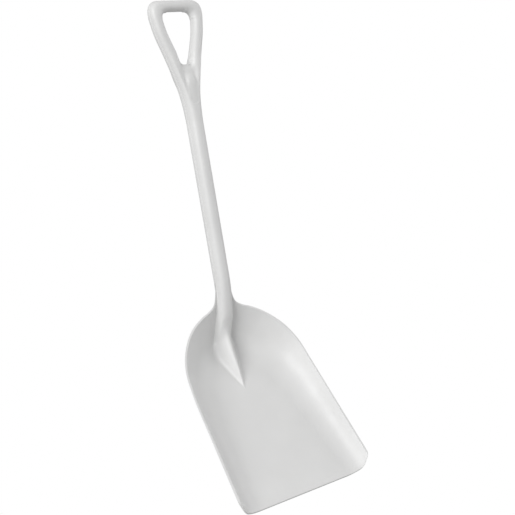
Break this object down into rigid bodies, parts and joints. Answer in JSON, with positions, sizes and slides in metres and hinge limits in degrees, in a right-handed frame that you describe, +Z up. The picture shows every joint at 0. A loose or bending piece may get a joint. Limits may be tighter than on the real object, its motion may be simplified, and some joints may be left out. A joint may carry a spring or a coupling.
{
  "type": "grain scoop shovel",
  "caption": "Upright one-piece moulded plastic scoop shovel with a D-grip, round shaft, tapering spine and deep flared blade for moving grain, seed and feed.",
  "frame": {"origin": "middle of the crossbar's underside, where a wall hook or a fist carries the shovel", "axes": "+Z up the shaft towards the grip, as the shovel hangs; the scoop opens towards -Y; +X across the blade"},
  "size_m": [0.351, 0.2576, 1.0915],
  "materials": {
    "white_polypropylene": "satin natural-white polypropylene, as moulded"
  },
  "bodies": {
    "root": {"blade": "white_polypropylene", "neck": "white_polypropylene", "shaft": "white_polypropylene", "yoke": "white_polypropylene", "left_arm": "white_polypropylene", "right_arm": "white_polypropylene", "crossbar": "white_polypropylene"}
  },
  "joints": []
}
